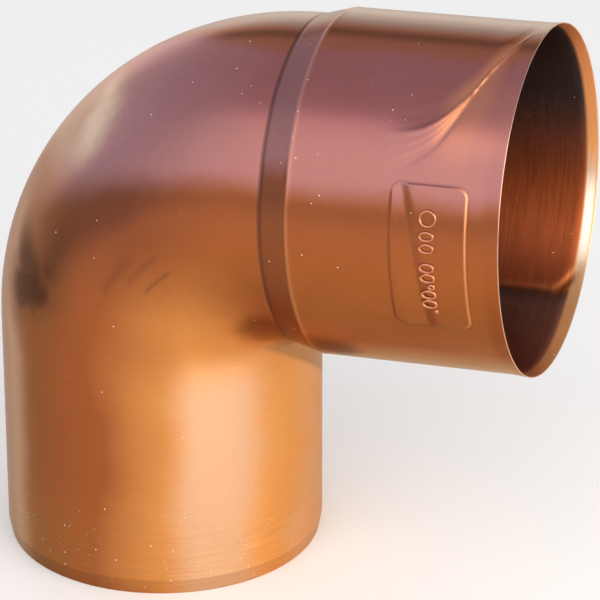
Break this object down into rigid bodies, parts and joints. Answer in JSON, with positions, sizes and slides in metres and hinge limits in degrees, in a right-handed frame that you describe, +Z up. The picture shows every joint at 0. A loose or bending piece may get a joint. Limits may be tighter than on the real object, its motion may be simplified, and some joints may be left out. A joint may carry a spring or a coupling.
{
  "type": "downspout elbow",
  "caption": "Drawn copper downspout elbow: a plain spigot turns through nearly a right angle into an expanded socket, to join round rainwater pipes.",
  "frame": {"origin": "centre of the spigot's open end, in the plane of its rim", "axes": "+Z up the spigot's axis into the bend, +X towards the socket; the socket's axis lies in the XZ plane, 87.5 degrees from +Z; the pressed panel is on the -Y side"},
  "size_m": [0.1386, 0.0828, 0.1426],
  "materials": {
    "copper": "bright drawn copper, satin, lightly tarnished"
  },
  "bodies": {
    "root": {"elbow": "copper"}
  },
  "joints": []
}
